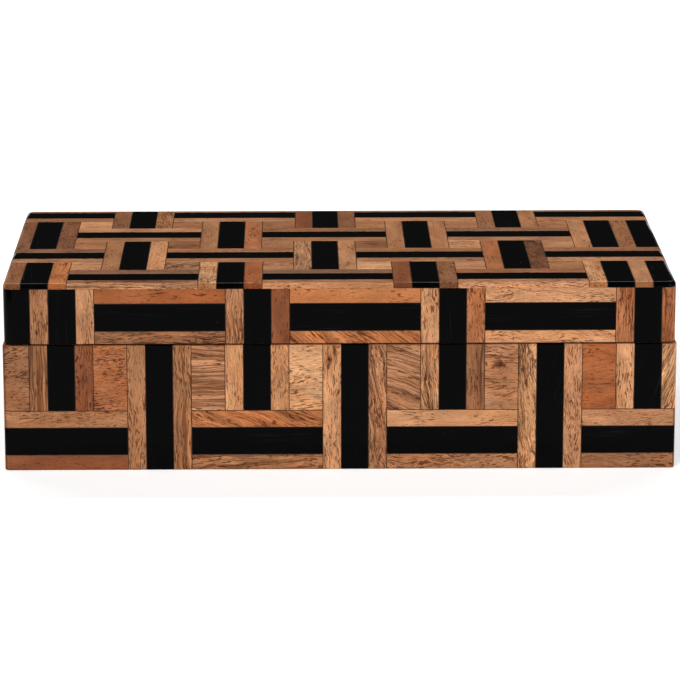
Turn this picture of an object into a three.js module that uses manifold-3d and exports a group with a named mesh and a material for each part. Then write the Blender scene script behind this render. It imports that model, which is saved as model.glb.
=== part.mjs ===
// A wooden storage box with a hinged lid, faced all over with wood tiles and black inlay strips
// in a basket weave. Millimetres, +Z up; the origin is the centre of the base's underside, and
// the front faces -Y.
import * as THREE from "three";
import { mergeVertices } from "three/addons/utils/BufferGeometryUtils.js";
import Module from "manifold-3d";

const wasm = await Module();
wasm.setup();

// Overall sizes
const BOX_WIDTH = 300;
const BOX_DEPTH = 156;
const BASE_HEIGHT = 57.5;
const SEAM = 0.5;
const LID_SIDE_HEIGHT = 25.1;
const LID_SETBACK = 0.6; // the lid is this much smaller than the base, on each side

// Boards of the carcass under the tiles
const BOARD = 8;
const FLOOR_PANEL = 6;
const TOP_PANEL = 5;
const REBATE = 4; // how far a panel reaches into the boards around it
const REBATE_CLEARANCE = 0.1;
const GLUE_FILM = 0.05;

// Tile layer: wood tiles stand on one thin backing, and black strips and glue lines fill between
const TILE_BACKING = 1;
const TILE_RISE = 1.6;
const TILE_LAYER = TILE_BACKING + TILE_RISE;
const WOOD_STRIP = 7.8;
const BLACK_STRIP = 12.55;
const BLOCK_LENGTH = 59; // a block is three strips side by side, wood, black and wood
const GLUE_LINE = 0.3;
const INLAY_CLEARANCE = 0.02;
const LEAST_TILE = 1; // a narrower offcut is filled with glue instead
const LEAST_LYING = 15; // in the full weave, a shorter end of a lying block is one upright black strip
const GLUE_RUN = 3; // bands of glue run under the tiles, and tie the strips of a face together
const GLUE_RUN_DEPTH = 0.4;
const RUN_MARGIN = 0.7; // a run ends this far inside its face

// Where the pattern starts on each face, from the base's corner or the face's lower edge
const TOP_FIRST_COLUMN = 13.8;
const TOP_FIRST_ROW = 13.5;
const LONG_FIRST_COLUMN = 26.25;
const SHORT_FIRST_COLUMN = 34.4;
const LID_ROW = 12.1;
const BASE_ROW = 13.4;

// Eased edges of the faced box
const CORNER_RADIUS = 2;
const TOP_EDGE_RADIUS = 1.5;
const FOOT_EDGE_RADIUS = 0.7;
const EDGE_STEPS = 2;
const EASING_CLEARANCE = 0.002; // the easing cut stands this far off the flat faces

// Felt linings
const FELT = 1.2;
const FELT_MARGIN = 0.6;

// Stop hinges, let into the rims at the back
const HINGE_LENGTH = 30;
const HINGE_INSET = 62; // from the base's side to the middle of the hinge
const LEAF = 1.2;
const LEAF_REACH = 9.4; // how far a leaf runs in over the back wall
const MORTISE_CLEARANCE = 0.15;
const KNUCKLE_RADIUS = 2.1;
const KNUCKLE_STANDOFF = 0.3;
const KNUCKLE_GAP = 0.2;
const MIDDLE_KNUCKLE = 10;
const PIN_RADIUS = 1;
const PIN_CLEARANCE = 0.05;
const PIN_HEAD_RADIUS = 1.5;
const PIN_HEAD = 0.6;
const STOP_FLAP = 0.8;
const STOP_FLAP_REACH = 2.6;
const STOP_ANGLE = 95; // degrees of lid travel before the two flaps meet
const STOP_CLEARANCE = 0.05;
const ROUND_SIDES = 16;

// Countersunk screws that hold the leaves
const SCREW_LENGTH = 9;
const SCREW_RADIUS = 0.9;
const SCREW_TIP = 1.6;
const SCREW_HEAD_RADIUS = 1.9;
const SCREW_HEAD = 0.9;
const SCREW_SLOT_WIDTH = 0.5;
const SCREW_SLOT_DEPTH = 0.35;
const SCREW_CLEARANCE = 0.1;
const SCREW_SPACING = 18;
const SCREW_SETBACK = 6.9; // from the base's back face to the screws
const SCREW_SIDES = 10;

// Sizes and places that follow from the ones above
const BLOCK_WIDTH = BLACK_STRIP + 2 * WOOD_STRIP;
const HALF_PERIOD = (BLOCK_LENGTH + BLOCK_WIDTH) / 2;
const FACING = TILE_LAYER + GLUE_FILM;
const LID_BOTTOM = BASE_HEIGHT + SEAM;
const LID_TOP_BACKING = LID_BOTTOM + LID_SIDE_HEIGHT;
const LID_WIDTH = BOX_WIDTH - 2 * LID_SETBACK;
const LID_DEPTH = BOX_DEPTH - 2 * LID_SETBACK;
const LID_TOP = LID_TOP_BACKING + TILE_LAYER;
const PIN_Y = BOX_DEPTH / 2 + KNUCKLE_STANDOFF + KNUCKLE_RADIUS;
const PIN_Z = BASE_HEIGHT + SEAM / 2;
const HINGE_X = BOX_WIDTH / 2 - HINGE_INSET;
const SCREW_Y = BOX_DEPTH / 2 - SCREW_SETBACK;
const LEAF_EDGE_Y = BOX_DEPTH / 2 - LEAF_REACH;
const SCREW_XS = [-SCREW_SPACING / 2, SCREW_SPACING / 2];
const HINGES = [
  ["left", -HINGE_X],
  ["right", HINGE_X],
];
const CUT_PAST = 1; // how far a cutter runs past the face it opens

// Finishes
const FINISH = {
  tile: { color: "#b5763c", roughness: 0.38, metalness: 0 },
  black: { color: "#141416", roughness: 0.22, metalness: 0 },
  board: { color: "#9a6a3e", roughness: 0.6, metalness: 0 },
  felt: { color: "#3a1114", roughness: 0.95, metalness: 0 },
  brass: { color: "#b58f45", roughness: 0.35, metalness: 1 },
};

function material(finish) {
  return new THREE.MeshStandardMaterial(FINISH[finish]);
}

// Closed geometry to a solid that can be cut and joined, and back

function toSolid(geometry) {
  const bare = geometry.clone();
  bare.deleteAttribute("normal");
  bare.deleteAttribute("uv");
  const merged = mergeVertices(bare, 1e-4);
  return new wasm.Manifold(
    new wasm.Mesh({
      numProp: 3,
      vertProperties: merged.attributes.position.array,
      triVerts: new Uint32Array(merged.index.array),
    }),
  );
}

function toGeometry(solid) {
  const made = solid.getMesh();
  const geometry = new THREE.BufferGeometry();
  geometry.setAttribute("position", new THREE.BufferAttribute(made.vertProperties, 3));
  geometry.setIndex(new THREE.BufferAttribute(made.triVerts, 1));
  geometry.computeVertexNormals();
  return geometry;
}

function block(x0, x1, y0, y1, z0, z1) {
  const geometry = new THREE.BoxGeometry();
  const corner = geometry.attributes.position;
  for (let i = 0; i < corner.count; i++)
    corner.setXYZ(
      i,
      corner.getX(i) < 0 ? x0 : x1,
      corner.getY(i) < 0 ? y0 : y1,
      corner.getZ(i) < 0 ? z0 : z1,
    );
  return geometry;
}

function blockSolid(...sides) {
  return toSolid(block(...sides));
}

function addMesh(group, name, geometry, finish) {
  const mesh = new THREE.Mesh(geometry, material(finish));
  mesh.name = name;
  group.add(mesh);
  return mesh;
}

// Eased outline of a faced box: round upright corners, and rounded edges at both ends
function easedBox(width, depth, z0, z1, edgeRadius) {
  const x = width / 2 - CORNER_RADIUS + EASING_CLEARANCE;
  const y = depth / 2 - CORNER_RADIUS + EASING_CLEARANCE;
  const outline = new THREE.Shape();
  outline.absarc(x, y, CORNER_RADIUS, 0, Math.PI / 2);
  outline.absarc(-x, y, CORNER_RADIUS, Math.PI / 2, Math.PI);
  outline.absarc(-x, -y, CORNER_RADIUS, Math.PI, 1.5 * Math.PI);
  outline.absarc(x, -y, CORNER_RADIUS, 1.5 * Math.PI, 2 * Math.PI);
  const geometry = new THREE.ExtrudeGeometry(outline, {
    depth: z1 - z0 - 2 * edgeRadius,
    curveSegments: EDGE_STEPS,
    bevelThickness: edgeRadius,
    bevelSize: edgeRadius,
    bevelOffset: -edgeRadius,
    bevelSegments: EDGE_STEPS,
  });
  geometry.translate(0, 0, z0 + edgeRadius);
  return toSolid(geometry);
}

// Pattern: each tile is a rectangle on its face, in millimetres from the face's lower left corner

function standingBlock(u, v0, v1) {
  const inner = BLACK_STRIP / 2;
  const outer = BLOCK_WIDTH / 2;
  return [
    { black: false, u0: u - outer, u1: u - inner, v0, v1 },
    { black: true, u0: u - inner, u1: u + inner, v0, v1 },
    { black: false, u0: u + inner, u1: u + outer, v0, v1 },
  ];
}

function lyingBlock(u0, u1, v) {
  const inner = BLACK_STRIP / 2;
  const outer = BLOCK_WIDTH / 2;
  return [
    { black: false, u0, u1, v0: v - outer, v1: v - inner },
    { black: true, u0, u1, v0: v - inner, v1: v + inner },
    { black: false, u0, u1, v0: v + inner, v1: v + outer },
  ];
}

// Trims tiles to the face, and leaves out offcuts too thin to lay
function trimTiles(tiles, width, height) {
  return tiles
    .map((t) => ({
      black: t.black,
      u0: Math.max(t.u0, 0),
      u1: Math.min(t.u1, width),
      v0: Math.max(t.v0, 0),
      v1: Math.min(t.v1, height),
    }))
    .filter((t) => Math.min(t.u1 - t.u0, t.v1 - t.v0) >= LEAST_TILE);
}

// Puts each strip in the place of the tiles whose middles lie inside it
function layOver(tiles, strips) {
  const within = (middle, low, high) => middle > low && middle < high;
  const covers = (s, t) =>
    within((t.u0 + t.u1) / 2, s.u0, s.u1) && within((t.v0 + t.v1) / 2, s.v0, s.v1);
  return [...tiles.filter((t) => !strips.some((s) => covers(s, t))), ...strips];
}

// Full basket weave: standing and lying blocks take turns along each row, and fillers sit between.
// Where a row's end leaves a short stub of a lying block, an upright black strip takes its place.
function weaveTiles(width, height, firstColumn, firstRow) {
  const tiles = [];
  const endStrips = [];
  for (let row = -1; firstRow + (row - 1) * HALF_PERIOD < height; row++) {
    const v = firstRow + row * HALF_PERIOD;
    for (let column = -2; firstColumn + (column - 1) * HALF_PERIOD < width; column++) {
      const u = firstColumn + column * HALF_PERIOD;
      const stands = (row + column) % 2 === 0;
      const [u0, u1] = [u - BLOCK_LENGTH / 2, u + BLOCK_LENGTH / 2];
      const [v0, v1] = [v - BLOCK_LENGTH / 2, v + BLOCK_LENGTH / 2];
      const seen = Math.min(u1, width) - Math.max(u0, 0);
      if (stands) tiles.push(...standingBlock(u, v0, v1));
      else tiles.push(...lyingBlock(u0, u1, v));
      if (!stands && seen < LEAST_LYING) endStrips.push({ black: true, u0, u1, v0, v1 });
      tiles.push({
        black: false,
        u0: u + BLOCK_WIDTH / 2,
        u1: u + HALF_PERIOD - BLOCK_WIDTH / 2,
        v0: v + BLOCK_WIDTH / 2,
        v1: v + HALF_PERIOD - BLOCK_WIDTH / 2,
      });
    }
  }
  return layOver(trimTiles(tiles, width, height), trimTiles(endStrips, width, height));
}

// Pattern of the base: full-height blocks, and between them a lying block at the foot with a
// short standing block and two tall fillers above it
function skirtTiles(width, height, firstColumn) {
  const tiles = [];
  const footTop = BASE_ROW + BLOCK_WIDTH / 2;
  for (let u = firstColumn - 2 * HALF_PERIOD; u - HALF_PERIOD < width; u += 2 * HALF_PERIOD) {
    tiles.push(...standingBlock(u + HALF_PERIOD, 0, height));
    tiles.push(...lyingBlock(u - BLOCK_LENGTH / 2, u + BLOCK_LENGTH / 2, BASE_ROW));
    tiles.push(...standingBlock(u, footTop, height));
    for (const [u0, u1] of [
      [u - BLOCK_LENGTH / 2, u - BLOCK_WIDTH / 2],
      [u + BLOCK_WIDTH / 2, u + BLOCK_LENGTH / 2],
    ])
      tiles.push({ black: false, u0, u1, v0: footTop, v1: height });
  }
  return trimTiles(tiles, width, height);
}

// Faces: u runs to the right and v up as seen from outside, and w runs out of the face

const ACROSS = {
  front: new THREE.Vector3(1, 0, 0),
  right: new THREE.Vector3(0, 1, 0),
  back: new THREE.Vector3(-1, 0, 0),
  left: new THREE.Vector3(0, -1, 0),
};
const UP = new THREE.Vector3(0, 0, 1);

function isLong(side) {
  return side === "front" || side === "back";
}

// Front and back tile panels run the full width, and cover the edges of the two at the sides
function sideFace(side, width, depth, z0, height) {
  const across = ACROSS[side];
  const out = new THREE.Vector3().crossVectors(across, UP);
  const length = isLong(side) ? width : depth - 2 * FACING;
  const reach = (isLong(side) ? depth : width) / 2 - TILE_LAYER;
  const origin = new THREE.Vector3()
    .addScaledVector(out, reach)
    .addScaledVector(across, -length / 2)
    .addScaledVector(UP, z0);
  const matrix = new THREE.Matrix4().makeBasis(across, UP, out).setPosition(origin);
  return { matrix, length, height };
}

function topFace() {
  const origin = new THREE.Vector3(-LID_WIDTH / 2, -LID_DEPTH / 2, LID_TOP_BACKING);
  return { matrix: new THREE.Matrix4().setPosition(origin), length: LID_WIDTH, height: LID_DEPTH };
}

function onFace(face, r, grow, w0, w1) {
  const piece = block(r.u0 - grow, r.u1 + grow, r.v0 - grow, r.v1 + grow, w0, w1);
  return toSolid(piece.applyMatrix4(face.matrix));
}

// A laid tile leaves half a glue line free on each side that meets a neighbour. On the face's
// border it runs past, and is trimmed with the whole facing.
function laid(t, face) {
  const low = (value) => (value > 0 ? value + GLUE_LINE / 2 : -CUT_PAST);
  const high = (value, edge) => (value < edge ? value - GLUE_LINE / 2 : edge + CUT_PAST);
  return {
    u0: low(t.u0),
    u1: high(t.u1, face.length),
    v0: low(t.v0),
    v1: high(t.v1, face.height),
  };
}

// Middles of the rows of blocks that reach onto a face, in the full basket weave
function weaveRows(height, firstRow) {
  const reach = BLOCK_LENGTH / 2 - LEAST_TILE;
  const below = Math.floor((firstRow + reach) / HALF_PERIOD);
  const above = Math.floor((height + reach - firstRow) / HALF_PERIOD);
  return Array.from({ length: below + above + 1 }, (_, i) => firstRow + (i - below) * HALF_PERIOD);
}

// Middles of the base's two bands of blocks: the lying ones, and the short ones above them
function skirtRows(height) {
  return [BASE_ROW, (BASE_ROW + BLOCK_WIDTH / 2 + height) / 2];
}

// Glue runs under the tiles: one along each row, which crosses every strip of that row, and one
// up the face that ties the rows. A row whose middle is past the border runs just inside it.
function glueRuns(face, rows, column) {
  const half = GLUE_RUN / 2;
  const inside = (value, length) =>
    Math.min(Math.max(value, RUN_MARGIN + half), length - RUN_MARGIN - half);
  const along = rows.map((row) => inside(row, face.height));
  const runs = along.map((v) => ({
    u0: RUN_MARGIN,
    u1: face.length - RUN_MARGIN,
    v0: v - half,
    v1: v + half,
  }));
  const up = inside(column, face.length);
  const tie = { u0: up - half, u1: up + half, v0: Math.min(...along), v1: Math.max(...along) };
  return along.length > 1 ? [...runs, tie] : runs;
}

// One face's two layers: wood tiles on their backing, and the black strips with the glue runs
// that tie them together
function facing(face, tiles, runs, eased, cutters) {
  const whole = { u0: 0, u1: face.length, v0: 0, v1: face.height };
  const trim = onFace(face, whole, 0, 0, TILE_LAYER).intersect(eased);
  const bed = TILE_BACKING + INLAY_CLEARANCE;
  const runBottom = bed + INLAY_CLEARANCE;
  const runTop = runBottom + GLUE_RUN_DEPTH;
  let wood = onFace(face, whole, CUT_PAST, -CUT_PAST, TILE_BACKING);
  for (const t of tiles.filter((each) => !each.black))
    wood = wood.add(onFace(face, laid(t, face), 0, 0, TILE_LAYER + CUT_PAST));
  let black = onFace(face, runs[0], 0, runBottom, runTop);
  for (const t of tiles.filter((each) => each.black))
    black = black.add(onFace(face, laid(t, face), 0, bed, TILE_LAYER + CUT_PAST));
  for (const run of runs) {
    const channelBottom = TILE_BACKING - INLAY_CLEARANCE;
    wood = wood.subtract(onFace(face, run, INLAY_CLEARANCE, channelBottom, runTop + INLAY_CLEARANCE));
    black = black.add(onFace(face, run, 0, runBottom, runTop));
  }
  wood = wood.intersect(trim);
  black = black.intersect(trim);
  for (const cutter of cutters) {
    wood = wood.subtract(cutter);
    black = black.subtract(cutter);
  }
  return { wood: toGeometry(wood), black: toGeometry(black) };
}

function addFacing(group, name, face, tiles, runs, eased, cutters = []) {
  const made = facing(face, tiles, runs, eased, cutters);
  addMesh(group, name + "_tiles", made.wood, "tile");
  addMesh(group, name + "_black_inlay", made.black, "black");
}

// Carcass: four boards, the front and back ones full width, and a panel let into their rebates.
// Upright sizes are from z0 to z1, and the panel lies from panelZ0 to panelZ1.
function carcass(width, depth, z0, z1, panelZ0, panelZ1) {
  const x = width / 2 - FACING;
  const y = depth / 2 - FACING;
  const inX = x - BOARD;
  const inY = y - BOARD;
  const endY = inY - GLUE_FILM;
  const boards = {
    front: blockSolid(-x, x, -y, -inY, z0, z1),
    back: blockSolid(-x, x, inY, y, z0, z1),
    left: blockSolid(-x, -inX, -endY, endY, z0, z1),
    right: blockSolid(inX, x, -endY, endY, z0, z1),
  };
  const reachX = inX + REBATE;
  const reachY = inY + REBATE;
  const openX = reachX + REBATE_CLEARANCE;
  const openY = reachY + REBATE_CLEARANCE;
  const rebate = blockSolid(
    -openX,
    openX,
    -openY,
    openY,
    panelZ0 > z0 ? panelZ0 - GLUE_FILM : z0 - CUT_PAST,
    panelZ1 < z1 ? panelZ1 + GLUE_FILM : z1 + CUT_PAST,
  );
  for (const side of Object.keys(boards)) boards[side] = boards[side].subtract(rebate);
  const panel = block(-reachX, reachX, -reachY, reachY, panelZ0, panelZ1);
  return { boards, panel, inX, inY };
}

// Hinges, around their own pin: x runs along the pin

function rod(radius, x0, x1) {
  const geometry = new THREE.CylinderGeometry(radius, radius, x1 - x0, ROUND_SIDES);
  geometry.rotateZ(Math.PI / 2);
  geometry.translate((x0 + x1) / 2, 0, 0);
  return toSolid(geometry);
}

// Screw with its head's flat face up at the origin. A wider one, open above, cuts its hole.
function screwSolid(grow, above) {
  const shank = SCREW_RADIUS + grow;
  const head = SCREW_HEAD_RADIUS + grow;
  const profile = [
    [0, -SCREW_LENGTH - grow],
    [shank, -SCREW_LENGTH + SCREW_TIP],
    [shank, -SCREW_HEAD],
    [head, 0],
  ];
  if (above > 0) profile.push([head, above]);
  profile.push([0, above]);
  const points = profile.map(([r, z]) => new THREE.Vector2(r, z));
  const geometry = new THREE.LatheGeometry(points, SCREW_SIDES);
  geometry.rotateX(Math.PI / 2);
  return toSolid(geometry);
}

function screwGeometry() {
  const slot = blockSolid(
    -SCREW_HEAD_RADIUS - CUT_PAST,
    SCREW_HEAD_RADIUS + CUT_PAST,
    -SCREW_SLOT_WIDTH / 2,
    SCREW_SLOT_WIDTH / 2,
    -SCREW_SLOT_DEPTH,
    CUT_PAST,
  );
  return toGeometry(screwSolid(0, 0).subtract(slot));
}

// The side is -1 for the base, whose leaf lies below the seam, and 1 for the lid
function leafGeometry(side) {
  const end = HINGE_LENGTH / 2;
  const middle = MIDDLE_KNUCKLE / 2;
  const inner = middle - KNUCKLE_GAP;
  const past = end + CUT_PAST;
  const own = side < 0 ? [[-end, -middle], [middle, end]] : [[-inner, inner]];
  const other = side < 0 ? [[-middle, middle]] : [[-past, -inner], [inner, past]];
  const [z0, z1] = [(side * SEAM) / 2, side * (SEAM / 2 + LEAF)].sort((a, b) => a - b);
  const [w0, w1] = [side * STOP_CLEARANCE, side * (STOP_CLEARANCE + STOP_FLAP)].sort(
    (a, b) => a - b,
  );
  const flap = block(-end, end, KNUCKLE_RADIUS - STOP_FLAP, KNUCKLE_RADIUS + STOP_FLAP_REACH, w0, w1);
  flap.rotateX(THREE.MathUtils.degToRad((side * STOP_ANGLE) / 2));
  let leaf = blockSolid(-end, end, LEAF_EDGE_Y - PIN_Y, 0, z0, z1).add(toSolid(flap));
  for (const [x0, x1] of other)
    leaf = leaf.subtract(rod(KNUCKLE_RADIUS + MORTISE_CLEARANCE, x0, x1));
  for (const [x0, x1] of own) leaf = leaf.add(rod(KNUCKLE_RADIUS, x0, x1));
  leaf = leaf.subtract(rod(PIN_RADIUS + PIN_CLEARANCE, -past, past));
  for (const x of SCREW_XS) {
    const hole = screwSolid(SCREW_CLEARANCE, CUT_PAST);
    leaf = leaf.subtract(
      hole.rotate([side < 0 ? 0 : 180, 0, 0]).translate([x, SCREW_Y - PIN_Y, (side * SEAM) / 2]),
    );
  }
  return toGeometry(leaf);
}

function pinGeometry() {
  const end = HINGE_LENGTH / 2 + PIN_CLEARANCE;
  return toGeometry(
    rod(PIN_RADIUS, -end - PIN_HEAD, end + PIN_HEAD)
      .add(rod(PIN_HEAD_RADIUS, -end - PIN_HEAD, -end))
      .add(rod(PIN_HEAD_RADIUS, end, end + PIN_HEAD)),
  );
}

// What a hinge takes out of the rim it is let into: the leaf's mortise and its screw holes
function hingeCutters(side) {
  const rim = side < 0 ? BASE_HEIGHT : LID_BOTTOM;
  const bed = rim + side * (LEAF + GLUE_FILM);
  const [z0, z1] = [bed, rim - side * CUT_PAST].sort((a, b) => a - b);
  const half = HINGE_LENGTH / 2 + MORTISE_CLEARANCE;
  const y0 = LEAF_EDGE_Y - MORTISE_CLEARANCE;
  return [-HINGE_X, HINGE_X].flatMap((x) => [
    blockSolid(x - half, x + half, y0, BOX_DEPTH / 2 + CUT_PAST, z0, z1),
    ...SCREW_XS.map((dx) =>
      screwSolid(SCREW_CLEARANCE, CUT_PAST)
        .rotate([side < 0 ? 0 : 180, 0, 0])
        .translate([x + dx, SCREW_Y, rim]),
    ),
  ]);
}

// A leaf and its two screws, for each hinge
function addLeaves(group, side) {
  const half = side < 0 ? "base" : "lid";
  for (const [name, x] of HINGES) {
    const leaf = addMesh(group, name + "_hinge_" + half + "_leaf", leafGeometry(side), "brass");
    leaf.position.set(x, PIN_Y, PIN_Z);
    SCREW_XS.forEach((dx, i) => {
      const screw = addMesh(group, name + "_hinge_" + half + "_screw_" + (i + 1), screwGeometry(), "brass");
      screw.position.set(x + dx, SCREW_Y, side < 0 ? BASE_HEIGHT : LID_BOTTOM);
      if (side > 0) screw.rotation.x = Math.PI;
    });
  }
}

function feltGeometry(frame, z0) {
  const x = frame.inX - FELT_MARGIN;
  const y = frame.inY - FELT_MARGIN;
  return block(-x, x, -y, y, z0, z0 + FELT);
}

function makeBase() {
  const group = new THREE.Group();
  const cutters = hingeCutters(-1);
  const frame = carcass(BOX_WIDTH, BOX_DEPTH, 0, BASE_HEIGHT, 0, FLOOR_PANEL);
  for (const cutter of cutters) frame.boards.back = frame.boards.back.subtract(cutter);
  for (const [side, board] of Object.entries(frame.boards))
    addMesh(group, "base_" + side + "_board", toGeometry(board), "board");
  addMesh(group, "base_floor_panel", frame.panel, "board");
  addMesh(group, "base_floor_felt", feltGeometry(frame, FLOOR_PANEL + GLUE_FILM), "felt");
  const eased = easedBox(BOX_WIDTH, BOX_DEPTH, 0, BASE_HEIGHT + 2 * FOOT_EDGE_RADIUS, FOOT_EDGE_RADIUS);
  for (const side of Object.keys(ACROSS)) {
    const face = sideFace(side, BOX_WIDTH, BOX_DEPTH, 0, BASE_HEIGHT);
    const first = isLong(side) ? LONG_FIRST_COLUMN : SHORT_FIRST_COLUMN - FACING;
    const tiles = skirtTiles(face.length, face.height, first);
    const runs = glueRuns(face, skirtRows(face.height), first);
    addFacing(group, "base_" + side, face, tiles, runs, eased, side === "back" ? cutters : []);
  }
  addLeaves(group, -1);
  for (const [name, x] of HINGES)
    addMesh(group, name + "_hinge_pin", pinGeometry(), "brass").position.set(x, PIN_Y, PIN_Z);
  return group;
}

function makeLid() {
  const group = new THREE.Group();
  const cutters = hingeCutters(1);
  const boardTop = LID_TOP_BACKING - GLUE_FILM;
  const panelBottom = boardTop - TOP_PANEL;
  const frame = carcass(LID_WIDTH, LID_DEPTH, LID_BOTTOM, boardTop, panelBottom, boardTop);
  for (const cutter of cutters) frame.boards.back = frame.boards.back.subtract(cutter);
  for (const [side, board] of Object.entries(frame.boards))
    addMesh(group, "lid_" + side + "_rail", toGeometry(board), "board");
  addMesh(group, "lid_top_panel", frame.panel, "board");
  addMesh(group, "lid_lining_felt", feltGeometry(frame, panelBottom - GLUE_FILM - FELT), "felt");
  const eased = easedBox(
    LID_WIDTH,
    LID_DEPTH,
    LID_BOTTOM - 2 * TOP_EDGE_RADIUS,
    LID_TOP,
    TOP_EDGE_RADIUS,
  );
  for (const side of Object.keys(ACROSS)) {
    const face = sideFace(side, LID_WIDTH, LID_DEPTH, LID_BOTTOM, LID_SIDE_HEIGHT - GLUE_FILM);
    const inset = isLong(side) ? LID_SETBACK : LID_SETBACK + FACING;
    const first = (isLong(side) ? LONG_FIRST_COLUMN : SHORT_FIRST_COLUMN) - inset;
    const tiles = weaveTiles(face.length, face.height, first, LID_ROW);
    const runs = glueRuns(face, weaveRows(face.height, LID_ROW), first);
    addFacing(group, "lid_" + side, face, tiles, runs, eased, side === "back" ? cutters : []);
  }
  const top = topFace();
  const column = TOP_FIRST_COLUMN - LID_SETBACK;
  const row = TOP_FIRST_ROW - LID_SETBACK;
  const topTiles = weaveTiles(top.length, top.height, column, row);
  const topRuns = glueRuns(top, weaveRows(top.height, row), column);
  addFacing(group, "lid_top", top, topTiles, topRuns, eased);
  addLeaves(group, 1);
  return group;
}

const storageBox = new THREE.Group();
storageBox.add(makeBase(), makeLid());

export default storageBox;
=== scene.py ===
"""Looks of an inlaid storage box: wood tiles and black strips laid in a basket weave.

Objects are in metres, +Z is up and the front faces -Y. The sizes of the pattern and of the tiles are
in millimetres, and are multiplied by MM where a mesh is made.
"""

import math
import random

import bpy
from mathutils import Matrix, Vector


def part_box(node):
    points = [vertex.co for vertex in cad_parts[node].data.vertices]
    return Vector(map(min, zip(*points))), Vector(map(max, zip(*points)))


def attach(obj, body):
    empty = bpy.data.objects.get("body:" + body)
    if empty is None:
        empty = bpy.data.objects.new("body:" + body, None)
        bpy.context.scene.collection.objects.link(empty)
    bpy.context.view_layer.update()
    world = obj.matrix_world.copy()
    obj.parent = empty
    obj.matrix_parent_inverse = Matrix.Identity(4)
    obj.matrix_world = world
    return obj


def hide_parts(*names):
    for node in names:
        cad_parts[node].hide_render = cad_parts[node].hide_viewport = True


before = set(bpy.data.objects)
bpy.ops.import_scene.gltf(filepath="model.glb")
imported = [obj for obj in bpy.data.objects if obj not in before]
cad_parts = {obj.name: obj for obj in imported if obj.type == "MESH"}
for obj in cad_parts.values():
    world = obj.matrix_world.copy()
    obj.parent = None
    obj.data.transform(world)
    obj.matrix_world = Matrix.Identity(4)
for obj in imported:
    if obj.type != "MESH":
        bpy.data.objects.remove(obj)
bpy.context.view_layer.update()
MM = 0.001  # one millimetre, in metres

# Blocks of three strips, wood, black and wood, in millimetres. Widths are across the strips.
LYING_BLACK = 12.55
LYING_WIDTH = 28.15
STANDING_BLACK = 12.16
STANDING_WIDTH = 28.5
STANDING_LENGTH = 59.0
LEAST_TILE = 1.0  # a narrower offcut is filled with glue instead
LEAST_LYING = 15.0  # a shorter end of a lying block is one upright black strip

# Middles of the blocks: from one to the next, and the first that lies on each face
ROW_STEP = (STANDING_LENGTH + LYING_WIDTH) / 2
COLUMN_STEPS = {"base": 43.55, "lid": 43.36}
PAST_BORDER = 2  # blocks laid past each border of a weave, to be trimmed
TOP_FIRST_COLUMN = 13.13
TOP_FIRST_ROW = 12.9
TOP_ROW_STRAYS = (0.9, 0.0, 0.0, 0.75)  # how far to the right of its place each row was laid
BASE_LONG_FIRST_COLUMN = 25.95
LID_LONG_FIRST_COLUMN = 26.12
BASE_SHORT_FIRST_COLUMN = 31.75
LID_SHORT_FIRST_COLUMN = 31.15
LID_ROW = 12.1
BASE_ROW = 13.4

# Laying and easing, in millimetres
GLUE_LINE = 0.3
GLUE_SINK = 0.1  # the glue bed lies this far inside the face
TILE_EASE = 0.14  # radius of a tile's own edges
SEAM_EASE = 0.12  # the tiles stop this far from the seam
BASE_CORNER_RADIUS = 2.0
LID_CORNER_RADIUS = 4.0
TOP_EDGE_RADIUS = 2.1
FOOT_EDGE_RADIUS = 0.7
ARC_STEPS = 4  # facets in half of a rounded edge
SAME_LINE = 1e-4  # grid lines closer than this are one
FLAT_ENOUGH = 0.9999  # a facet that faces an axis this squarely is shaded flat

# Where the painted highlight line lies along the lid's top edge, in degrees of the turn from its top to its
# side
HIGHLIGHT_TURN = 22.5
HIGHLIGHT_SPREAD = 11.0

# Mortises of the hinge leaves, in millimetres
HINGE_X = 88.0
MORTISE_HALF = 15.15
MORTISE_DEEP = 1.25

# Wood tones as they look in daylight, from 0 to 255
TONES = {
    "cream": (203, 152, 110),
    "honey": (193, 139, 99),
    "sand": (180, 134, 100),
    "tan": (176, 125, 90),
    "fawn": (162, 116, 86),
    "oak": (162, 113, 79),
    "brown": (146, 100, 70),
    "drab": (134, 97, 75),
    "umber": (130, 88, 63),
    "amber": (182, 116, 73),
    "rust": (166, 105, 69),
    "cinnamon": (156, 92, 56),
    "russet": (129, 78, 52),
}

# Figure of the wood: strength of fibres, flecks and dark bands, the grain's slant in degrees, and how
# many times shorter than usual its marks are
FIGURES = {
    "plain": (0.4, 0.0, 0.0, 0, 1.0),
    "fine": (0.9, 0.4, 0.15, 1, 1.1),
    "flecked": (0.8, 0.75, 0.1, 2, 1.25),
    "streaked": (1.3, 0.5, 1.0, 2, 0.9),
    "banded": (1.1, 0.1, 1.45, 1, 0.7),
    "slanted": (1.0, 0.4, 1.0, -24, 0.9),
    "steep": (1.0, 0.5, 1.0, -38, 0.9),
    "curly": (1.2, 1.0, 1.0, 12, 1.2),
    "knotty": (0.9, 0.3, 0.2, 0, 1.2),
    "mottled": (0.9, 1.3, 0.8, 40, 1.6),
}

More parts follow.
